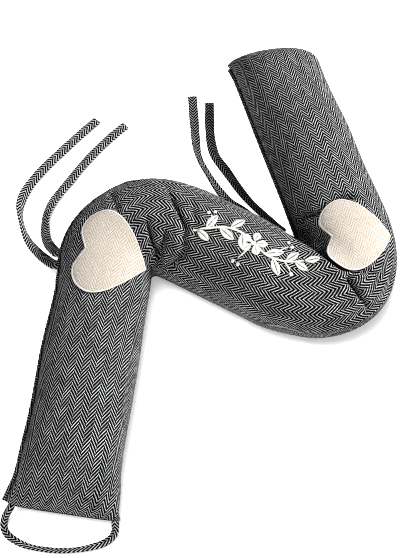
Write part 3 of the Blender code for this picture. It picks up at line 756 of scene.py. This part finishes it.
def columnLengths(places, points):
    # The cloth's length at each row and each column of the weave. A column keeps its own length, so the
    # weave stays true in the bends, where columns slip past each other by whole repeats.
    steps = tube["columnSteps"]
    middles = (points[:, steps // 2::steps] + points[:, steps // 2 + 1::steps]) / 2
    own = np.vstack((np.zeros(middles.shape[1]),
                     np.cumsum(np.linalg.norm(np.diff(middles, axis=0), axis=2), axis=0)))
    margin = slip["margin"]
    bounds = (slip["from"], firstStart - margin, firstEnd + margin, secondStart - margin, secondEnd + margin,
              tube["length"] - slip["to"])
    ends = [np.searchsorted(places, at) for at in bounds]
    cloth = own - own[ends[0]]
    for a, b in zip(ends, ends[1:]):
        lengths = own[b] - own[a]
        wanted = lengths[0] + np.round((lengths - lengths[0]) / weaveRepeat) * weaveRepeat
        cloth[a:] = cloth[a] + np.where(np.arange(a, len(places))[:, None] <= b,
                                        (own[a:] - own[a]) * wanted / lengths,
                                        own[a:] - own[b] + wanted)
    return cloth


def makeCover(material):
    steps = tube["columnSteps"]
    around = tube["columns"] * steps
    places = stations()
    share = np.arange(around) / around
    near, far = tube["endSkew"]
    bowRight, bowLeft = tube["endBow"]
    points, seamOut = [], []
    for along in places:
        place, heading = middleLine(along)
        across, heights, middle, widest = section(along)
        left, ahead = leftOf(heading), aheadOf(heading)
        nearShare = eased(1 - along / tube["skewLength"])
        farShare = eased(1 - (tube["length"] - along) / tube["skewLength"])
        fromEnd = min(along, tube["length"] - along)
        over = (across - across.min()) / np.ptp(across)
        bow = bowRight + (bowLeft - bowRight) * over
        bow = bow * (1 - (2 * over - 1) ** tube["bowSquareness"])
        skew = (nearShare * (near[1] + (near[0] - near[1]) * over - bow)
                + farShare * (far[1] + (far[0] - far[1]) * over))
        plan = place + np.outer(across, left) + np.outer(skew, ahead)
        outward = np.column_stack((across, heights)) - middle
        outward /= np.maximum(np.linalg.norm(outward, axis=1), 1e-9)[:, None]

        onTop = eased((heights - widest) / lumps["topEase"])
        move = onTop * (lump(along, share) * eased(fromEnd / lumps["fade"]) + creaseMove(plan))
        perimeter = 2 * (np.ptp(across) + np.ptp(heights)) * seamGroove["roundness"]
        fromSeam = np.minimum(share, 1 - share) * perimeter
        inEnds = eased((fromEnd - seamGroove["from"]) / seamGroove["over"])
        move -= inEnds * seamGroove["depth"] * np.exp(-(fromSeam / seamGroove["halfWidth"]) ** 2)
        pleats = eased(fromEnd / gathers["rise"]) * (1 - eased(fromEnd / gathers["length"]))
        wander, wanderPitch = gathers["waver"]
        pleat = across / gathers["pitch"] * 2 * np.pi + wander * np.sin(across / wanderPitch)
        move -= gathers["depth"] * pleats * (0.5 + 0.5 * np.sin(pleat))
        plan = plan + np.outer(outward[:, 0] * move, left)
        points.append(np.column_stack((plan, np.maximum(heights + outward[:, 1] * move, 0.0))))
        away = outward[0]
        seamOut.append(np.array((left[0] * away[0], left[1] * away[0], away[1])))
    points = np.array(points)

    cloth = columnLengths(places, points)
    rows = len(places)
    faces, corners = tubeFaces(rows, around)
    column = (corners[:, :1, 1] // steps).repeat(4, axis=1)
    uvs = np.stack((corners[..., 1] / steps * columnWidth, cloth[corners[..., 0], column]), axis=-1)
    faces, ends = capped(faces, lambda row, step: (step / steps * columnWidth, cloth[row, 0]), rows, around)
    cover = makeObject("TweedCover", points.reshape(-1, 3), faces, np.vstack((uvs.reshape(-1, 2), ends)))
    cover.data.materials.append(material)
    facesOut(cover)
    return cover, points, np.array(seamOut)


cover, coverPoints, seamOut = makeCover(tweed)
print("cover made:", len(cover.data.polygons), "faces")


pipingLook = {
    "radius": 0.0021,
    "away": 0.0024,                      # of its middle from the seam
    "setback": (0.0012, 0.012),          # bare seam at the near and far end
    "sides": 14,
    "spacing": 0.0011,
    "strands": 2,
    "strandRelief": 0.10,
    "twistPitch": 0.0075,
    "slant": math.radians(45),           # its cloth is cut on the bias
}


def makePiping(look, material):
    centre = coverPoints[:, 0] + look["away"] * seamOut
    near, far = look["setback"]
    path = evenly(centre[(stations() > near) & (stations() < tube["length"] - far)], look["spacing"])
    run = runLengths(path)
    turn = 2 * np.pi * np.arange(look["sides"]) / look["sides"]
    across = np.append(turn, 2 * np.pi) * look["radius"]
    rings, uvs = [], []
    for index, spot in enumerate(path):
        side, up = crossFrame(path, index)
        twist = look["strands"] * turn - 2 * np.pi * run[index] / look["twistPitch"]
        radius = look["radius"] * (1 - look["strandRelief"] * (0.5 - 0.5 * np.cos(twist)))
        rings.append(spot + np.outer(radius * np.cos(turn), side) + np.outer(radius * np.sin(turn), up))
        uvs.append(np.column_stack(rotated(across, run[index], look["slant"])))
    return cappedTube("SeamPiping", np.array(rings), np.array(uvs), material)


piping = makePiping(pipingLook, trim)
print("piping sewn in")

heartLook = {
    "thickness": 0.0016,
    "gap": 0.0003,
    "rows": 26,
    "steps": 14,                         # rim points for each of the outline's
    "easing": (14, 600),                 # rounds of easing of each felt's lie
    "bedReach": 0.65,                    # of the larger side, from the centre
    "rimRound": (0.93, 24),              # how far the felt thins at its rim, and how late
    "tucked": 0.003,                     # how far into its fold a tucked part of the felt reaches
    #   half of a heart, tip towards +X, one unit long and wide, from the notch to the tip
    "half": ((-0.38, 0.0), (-0.50, 0.22), (-0.42, 0.40), (-0.20, 0.50), (0.04, 0.445), (0.28, 0.27),
             (0.44, 0.09), (0.50, 0.0)),
}

#   name, node, fold, centre from it, length, width, turn, lean of the tip, heading of its weave, and the
#   part tucked into a fold: its distance and heading from the centre
heartRows = (
    ("HeartOne", "heart_patch_1", 0, (-0.0455, 0.0078), 0.0755, 0.100, -10.0, -0.0058, 80.0,
     (math.inf, 0.0)),
    ("HeartTwo", "heart_patch_2", 1, (0.0655, -0.0184), 0.076, 0.090, 6.0, 0.0, 104.0,
     (0.0455, 228.7)),
)

coverTree = BVHTree.FromPolygons([vertex.co for vertex in cover.data.vertices],
                                 [face.vertices for face in cover.data.polygons])


bedLook = {
    "step": 0.001,
    "rayHeight": 0.3,
    "steepest": 2.0,
    "edge": 1.001,                       # how many steps short of the grid's count a place stays
}


def clothBed(x, y, reach, gap, rounds):
    # A function for the height at which cloth lies over the tube around a place in plan.
    step = bedLook["step"]
    count = round(2 * reach / step) + 1
    ground = np.zeros((count, count))
    for row in range(count):
        for column in range(count):
            above = Vector((x - reach + column * step, y - reach + row * step, bedLook["rayHeight"]))
            hit = coverTree.ray_cast(above, Vector((0, 0, -1)))[0]
            ground[row, column] = hit.z if hit else 0.0
    slope = np.minimum(np.hypot(*np.gradient(ground, step)), bedLook["steepest"])
    floor = ground + gap * np.sqrt(1 + slope ** 2)
    bed = floor
    for _ in range(rounds):
        beside = [np.roll(bed, move, axis) for move in (1, -1) for axis in (0, 1)]
        bed = np.maximum(floor, np.mean(beside, axis=0))

    def heightAt(px, py):
        column = np.clip((px - x + reach) / step, 0, count - bedLook["edge"])
        row = np.clip((py - y + reach) / step, 0, count - bedLook["edge"])
        i, j = column.astype(int), row.astype(int)
        u, v = column - i, row - j
        return ((bed[j, i] * (1 - u) + bed[j, i + 1] * u) * (1 - v)
                + (bed[j + 1, i] * (1 - u) + bed[j + 1, i + 1] * u) * v)

    def at(spots):
        # Points on the bed, and its upward normals there.
        px, py = spots[:, 0], spots[:, 1]
        riseX = (heightAt(px + step, py) - heightAt(px - step, py)) / (2 * step)
        riseY = (heightAt(px, py + step) - heightAt(px, py - step)) / (2 * step)
        normals = np.column_stack((-riseX, -riseY, np.ones(len(px))))
        return np.column_stack((px, py, heightAt(px, py))), unit(normals)

    return at


def tucked(rim, distance, heading):
    # The rim's points beside the centre, drawn in where they lie past a fold that the felt is tucked into.
    ahead = aheadOf(math.radians(heading))
    past = np.maximum(rim @ ahead - distance, 0.0)
    reach = heartLook["tucked"]
    return rim - np.outer(past - reach * (1 - np.exp(-past / reach)), ahead)


def makeHeart(row, look, material):
    name, _, fold, offset, length, width, turn, lean, weaveHeading, tuck = row
    half = smoothPath(look["half"], look["steps"])
    rim = np.vstack((half, (half[1:-1] * (1, -1))[::-1]))
    rim = np.column_stack((rim[:, 0] * length, rim[:, 1] * width + lean * (rim[:, 0] + 0.5)))
    rim = tucked(np.column_stack(rotated(*rim.T, math.radians(turn))), *tuck)
    centre = folds[fold] + np.array(offset)
    bed = clothBed(*centre, look["bedReach"] * max(length, width), look["gap"], look["easing"][fold])

    count, rows = len(rim), look["rows"]
    shares = np.linspace(0, 1, rows + 1)[1:]
    plan = np.vstack([centre] + [centre + rim * share for share in shares])
    under, normals = bed(plan)
    thinning, late = look["rimRound"]
    thick = np.concatenate(((1.0,), np.repeat(np.sqrt(1 - thinning * shares ** late), count)))
    over = under + normals * (look["thickness"] * thick)[:, None]
    size = len(plan)
    faces = []
    for i in range(count):
        j = (i + 1) % count
        faces.append((0, 1 + j, 1 + i))
        faces.append((size, size + 1 + i, size + 1 + j))
        for inner in range(1, size - count, count):
            a, b, c, d = inner + i, inner + j, inner + count + j, inner + count + i
            faces.append((a, b, c, d))
            faces.append((size + a, size + d, size + c, size + b))
        edge = size - count
        faces.append((edge + i, edge + j, size + edge + j, size + edge + i))
    heading = math.radians(weaveHeading)
    flat = np.vstack((plan, plan)) - centre
    uv = np.column_stack((flat @ -leftOf(heading), flat @ aheadOf(heading)))
    uvs = uv[np.concatenate([np.array(face) for face in faces])]
    heart = makeObject(name, np.vstack((under, over)), faces, uvs)
    heart.data.materials.append(material)
    facesOut(heart)
    ahead = np.roll(rim, -1, axis=0)
    area = 0.5 * abs(float(np.sum(rim[:, 0] * ahead[:, 1] - rim[:, 1] * ahead[:, 0])))
    return heart, rim + centre, bed, area


hearts = {row[1]: makeHeart(row, heartLook, cream) for row in heartRows}
print("hearts laid on")


threadLook = {
    "color": (0.58, 0.57, 0.545),
    "sides": 6,
    "rings": 4,
    "thickness": 0.0006,                 # where a piece doesn't give its own
    "seed": 5,
    "unevenness": 0.22,
    "ply": (2600.0, 0.88, 1.06),         # clouds to the metre, least and most light
    "relief": 0.0001,
    "roughness": 0.6,
    "sheen": 0.1,
}


def threadMaterial(look):
    material, w = makeMaterial("embroideryThread")
    shade = w.add("ShaderNodeAttribute", {}, attribute_name="shade").outputs["Fac"]
    scale, least, most = look["ply"]
    ply = w.clouds(w.add("ShaderNodeTexCoord", {}).outputs["Object"], scale)
    value = w.maths("MULTIPLY", w.between(shade, 1 - look["unevenness"], 1.0), w.between(ply, least, most))
    w.put(w.tree.nodes["Principled BSDF"], {
        "Base Color": w.scaled(look["color"], value),
        "Normal": w.bump(look["relief"], ply),
        "Roughness": look["roughness"],
        "Sheen Weight": look["sheen"],
    })
    return material


def stitchTree(look, material):
    # Geometry Nodes: a plump thread on every point, lying along its 'lie' and standing off along its
    # 'face'.
    tree = bpy.data.node_groups.new("satinStitches", "GeometryNodeTree")
    w = Wiring(tree)
    for way in ("INPUT", "OUTPUT"):
        tree.interface.new_socket("Geometry", in_out=way, socket_type="NodeSocketGeometry")
    for name, kind, value in (("Thickness", "Float", look["thickness"]), ("Sides", "Int", look["sides"]),
                              ("Rings", "Int", look["rings"]), ("Seed", "Int", look["seed"]),
                              ("Material", "Material", material)):
        socket = tree.interface.new_socket(name, in_out="INPUT", socket_type="NodeSocket" + kind)
        socket.default_value = value

    def add(kind, output, inputs, **settings):
        return w.add(kind, inputs, **settings).outputs[output]

    def named(name, kind):
        return add("GeometryNodeInputNamedAttribute", "Attribute", {"Name": name}, data_type=kind)

    given = w.add("NodeGroupInput", {}).outputs
    thread = add("GeometryNodeMeshUVSphere", "Mesh",
                 {"Segments": given["Sides"], "Rings": given["Rings"], "Radius": 0.5})
    #   the sphere's poles go to the thread's two ends
    thread = add("GeometryNodeTransform", 0, {"Geometry": thread, "Rotation": (0, math.pi / 2, 0)})
    lie = add("FunctionNodeAlignRotationToVector", 0, {"Vector": named("lie", "FLOAT_VECTOR")}, axis="X")
    lie = add("FunctionNodeAlignRotationToVector", 0,
              {"Rotation": lie, "Vector": named("face", "FLOAT_VECTOR")}, axis="Z", pivot_axis="X")
    size = add("ShaderNodeCombineXYZ", 0, {"X": named("reach", "FLOAT"), "Y": given["Thickness"],
                                           "Z": given["Thickness"]})
    made = add("GeometryNodeInstanceOnPoints", 0,
               {"Points": given["Geometry"], "Instance": thread, "Rotation": lie, "Scale": size})
    #   a random shade for each thread
    dice = w.add("FunctionNodeRandomValue", {"Seed": given["Seed"]}, data_type="FLOAT")
    made = add("GeometryNodeStoreNamedAttribute", 0,
               {"Geometry": made, "Name": "shade", "Value": dice.outputs["Value"]},
               data_type="FLOAT", domain="INSTANCE")
    made = add("GeometryNodeRealizeInstances", 0, {"Geometry": made})
    made = add("GeometryNodeSetShadeSmooth", 0, {"Geometry": made})
    made = add("GeometryNodeSetMaterial", 0, {"Geometry": made, "Material": given["Material"]})
    w.add("NodeGroupOutput", {"Geometry": made})
    return tree


stitchNodes = stitchTree(threadLook, threadMaterial(threadLook))


def stitched(name, spots, lies, normals, thickness, overlap=0.0):
    # A piece of satin stitching: at each spot a thread as long as its lie and the overlap.
    reaches = np.linalg.norm(lies, axis=1) + overlap
    item = makeObject(name, spots, [])
    for key, values, kind, part in (("lie", unit(lies), "FLOAT_VECTOR", "vector"),
                                    ("face", normals, "FLOAT_VECTOR", "vector"),
                                    ("reach", reaches, "FLOAT", "value")):
        attribute = item.data.attributes.new(key, kind, "POINT")
        attribute.data.foreach_set(part, np.asarray(values, np.float32).ravel())
    modifier = item.modifiers.new("stitches", "NODES")
    modifier.node_group = stitchNodes
    sockets = {s.name: s.identifier for s in stitchNodes.interface.items_tree if s.in_out == "INPUT"}
    modifier[sockets["Thickness"]] = thickness
    evaluated = item.evaluated_get(bpy.context.evaluated_depsgraph_get())
    made = bpy.data.meshes.new_from_object(evaluated)
    item.modifiers.remove(modifier)
    item.data = made
    made.name = name
    return item


borderLook = {
    "width": 0.0023,
    "spacing": 0.00058,
    "thickness": 0.00085,
    "inset": 0.0006,                     # of the stitches' middles from the rim
    "lift": (0.72, 0.35),                # of a stitch's middle and of its inner end, in felt thicknesses
}


def makeBorder(name, rim, bed, look):
    # Satin stitches across a heart's rim.
    closed = evenly(np.vstack((rim, rim[:1])), look["spacing"])[:-1]
    inwards = toLeft(unit(np.roll(closed, -2, axis=0) - np.roll(closed, 2, axis=0)))
    if ((rim.mean(axis=0) - closed) * inwards).sum() < 0:
        inwards = -inwards
    plan = closed + inwards * look["inset"]
    spots, normals = bed(plan)
    outer, inner = (bed(plan + inwards * step)[0] for step in (-look["width"] / 2, look["width"] / 2))
    lift, slope = (share * heartLook["thickness"] for share in look["lift"])
    lies = inner - outer + normals * slope
    return stitched(name, spots + normals * lift, lies, normals, look["thickness"])


borders = {node: makeBorder(heart.name + "Border", rim, bed, borderLook)
           for node, (heart, rim, bed, area) in hearts.items()}
print("hearts stitched round")


sprigLook = {
    "centre": 0.0900,                    # distance along the middle leg from its start
    "shift": 0.004,                      # to the left of the middle line
    "spacing": 0.00058,
    "thickness": 0.00095,
    "lift": 0.0005,
    #   along the leg and to its left, from the sprig's centre
    "stem": ((-0.064, -0.012), (-0.050, -0.004), (-0.034, 0.005), (-0.016, 0.007), (0.003, 0.000),
             (0.022, -0.007), (0.042, -0.004), (0.058, 0.006)),
    "stemSteps": 12,                     # places between each two points of the stem
    "stemWidth": 0.0030,
    "tendrilWidth": 0.0018,
    "leafMidrib": 0.0005,
    "leafStart": 0.0012,                 # from the stem
    "petalStart": 0.0030,                # from the flower's middle
    "berryRadius": 0.0021,
    "overlap": 0.0006,                   # by which a thread is longer than its stitch
    "bed": (0.082, 4),                   # reach of the cloth under it, rounds of easing
    "probe": 0.001,                      # step over which the stem's direction is taken
}
leafLook = {
    "shape": (0.85, 0.8),                # powers: how far back a leaf is widest, and how full it is
    "slant": 0.55,
    "least": 0.0006,                     # shortest stitch
}
bandLook = {"taper": (0.06, 0.97, 0.3), "pathSteps": 10}      # from, to, power

#   share of the stem where it grows, side (1 is left), angle from the stem, length, width
leaves = (
    (0.03, -1, 52, 0.017, 0.0080), (0.10, 1, 48, 0.020, 0.0090), (0.21, -1, 50, 0.021, 0.0095),
    (0.30, 1, 52, 0.020, 0.0090), (0.41, -1, 55, 0.019, 0.0090), (0.67, 1, 50, 0.020, 0.0090),
    (0.74, -1, 50, 0.020, 0.0090), (0.85, 1, 46, 0.018, 0.0085), (0.92, -1, 44, 0.016, 0.0080),
    (1.00, 1, 4, 0.017, 0.0080),
)
flower = {"share": 0.54, "petals": 5, "petal": (0.0125, 0.0098), "heart": 0.0026, "turn": 20.0}
#   berries and tendrils: places along and to the left
berries = ((-0.058, 0.014), (-0.0525, 0.0185), (0.0345, 0.0205), (0.040, 0.0165), (-0.0100, -0.0270),
           (-0.0035, -0.0285), (0.052, -0.0150))
tendrils = (
    ((-0.045, -0.002), (-0.050, 0.007), (-0.054, 0.012)),
    ((0.025, -0.006), (0.031, 0.006), (0.036, 0.014)),
    ((0.000, 0.001), (-0.002, -0.012), (-0.006, -0.022)),
    ((0.040, -0.005), (0.047, -0.010), (0.050, -0.013)),
)


def leafStitches(base, direction, length, width, gap, spacing):
    # Two rows of slanting stitches, one on each side of a leaf's midrib: (middle, vector) for each.
    side = toLeft(direction)
    widest, full = leafLook["shape"]
    made = []
    for t in (np.arange(round(length / spacing)) + 0.5) / round(length / spacing):
        reach = width / 2 * math.sin(math.pi * t ** widest) ** full
        for sign in (1, -1):
            start = base + direction * length * t + sign * side * gap / 2
            vector = sign * side * reach + direction * reach * leafLook["slant"] * (1 - t)
            if np.linalg.norm(vector) > leafLook["least"]:
                made.append((start + vector / 2, vector))
    return made


def bandStitches(path, width, spacing):
    # Stitches straight across a line.
    path = evenly(smoothPath(path, bandLook["pathSteps"]), spacing)
    sides = toLeft(unit(np.gradient(path, axis=0)))
    first, last, power = bandLook["taper"]
    taper = np.sin(np.pi * np.linspace(first, last, len(path))) ** power
    return [(spot, side * width * share) for spot, side, share in zip(path, sides, taper)]


def discStitches(centre, radius, spacing):
    made = []
    for offset in np.arange(-radius + spacing / 2, radius, spacing):
        reach = 2 * math.sqrt(radius ** 2 - offset ** 2)
        made.append((np.array(centre) + (0.0, offset), np.array((reach, 0.0))))
    return made


def makeSprig(look):
    stem = smoothPath(look["stem"], look["stemSteps"])
    run = runLengths(stem)
    spacing = look["spacing"]

    def onStem(at):
        return np.array([np.interp(at, run, stem[:, axis]) for axis in (0, 1)])

    made = bandStitches(look["stem"], look["stemWidth"], spacing)
    for tendril in tendrils:
        made += bandStitches(tendril, look["tendrilWidth"], spacing)
    for share, side, angle, length, width in leaves:
        at = share * run[-1]
        ahead = onStem(at + look["probe"]) - onStem(at - look["probe"])
        direction = aheadOf(math.atan2(ahead[1], ahead[0]) + side * math.radians(angle))
        made += leafStitches(onStem(at) + direction * look["leafStart"], direction, length, width,
                             look["leafMidrib"], spacing)
    middle = onStem(flower["share"] * run[-1])
    for petal in range(flower["petals"]):
        direction = aheadOf(math.radians(flower["turn"] + 360 / flower["petals"] * petal))
        base = middle + direction * look["petalStart"]
        made += leafStitches(base, direction, *flower["petal"], 0.0, spacing)
    made += discStitches(middle, flower["heart"], spacing)
    for berry in berries:
        made += discStitches(berry, look["berryRadius"], spacing)

    place, heading = middleLine(firstEnd + look["centre"])
    axes = np.array((aheadOf(heading), leftOf(heading)))
    place = place + axes[1] * look["shift"]
    plan, reach = (np.array(part) @ axes for part in zip(*made))
    plan += place
    reachOfBed, rounds = look["bed"]
    bed = clothBed(*place, reachOfBed, 0.0, rounds)
    spots, normals = bed(plan)
    lies = bed(plan + reach / 2)[0] - bed(plan - reach / 2)[0]
    print("sprig:", len(made), "stitches")
    return stitched("SprigEmbroidery", spots + normals * look["lift"], lies, normals, look["thickness"],
                    look["overlap"])


sprig = makeSprig(sprigLook)


stageLook = {
    "floorHalf": 3.0,
    "floor": (0.90, 0.90, 0.90),
    "floorRoughness": 0.9,
    "floorGlow": 0.25,
    "white": (1.0, 1.0, 1.0),
    "world": 0.27,
    "contrast": "Very High Contrast",
    "pixelFilter": 1.1,
    #   name, place, side of its square, watts, whether it lights the floor alone or all but the floor
    "lights": (("keyLight", (3.00, 1.55, 2.50), 1.6, 228.0, False),
               ("fillLight", (-0.9, -2.2, 1.5), 2.0, 50.0, False),
               ("floorLight", (-0.50, 0.12, 2.0), 1.4, 46.0, True)),
}


def makeStage(look):
    half = look["floorHalf"]
    floor = makeObject("floor", [(-half, -half, 0), (half, -half, 0), (half, half, 0), (-half, half, 0)],
                       [(0, 1, 2, 3)])
    plain, w = makeMaterial("paleFloor")
    w.put(w.tree.nodes["Principled BSDF"], {
        "Base Color": rgba(look["floor"]),
        "Roughness": look["floorRoughness"],
        "Specular IOR Level": 0.0,
        "Emission Color": rgba(look["white"]),
        "Emission Strength": look["floorGlow"],
    })
    floor.data.materials.append(plain)
    world = bpy.data.worlds.new("studio")
    world.use_nodes = True
    w = Wiring(world.node_tree)
    w.put(w.tree.nodes["Background"], {"Color": rgba(look["white"]), "Strength": look["world"]})
    scene.world = world
    piece, ground = bpy.data.collections.new("the piece"), bpy.data.collections.new("the ground")
    for item in scene.objects:
        if item.type == "MESH":
            (ground if item == floor else piece).objects.link(item)
    for name, place, size, watts, onFloor in look["lights"]:
        data = bpy.data.lights.new(name, "AREA")
        data.size = size
        data.energy = watts
        lamp = linked(name, data)
        lamp.location = place
        lamp.rotation_euler = (-Vector(place)).to_track_quat("-Z", "Y").to_euler()
        lamp.light_linking.receiver_collection = ground if onFloor else piece
    scene.view_settings.view_transform = "Standard"
    scene.view_settings.look = look["contrast"]
    #   a weave of two pixels to the thread has to survive the denoiser
    scene.cycles.denoising_prefilter = "NONE"
    scene.cycles.filter_width = look["pixelFilter"]


makeStage(stageLook)
print("stage lit")


def declare(item, node=None):
    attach(item, "root")
    if node:
        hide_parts(node)


declare(cover, "cover")
declare(piping, "side_piping")
for node, (heart, rim, _, area) in hearts.items():
    declare(heart, node)
    declare(borders[node])
declare(sprig)
for node, (strap, path, length, look) in straps.items():
    declare(strap, node)
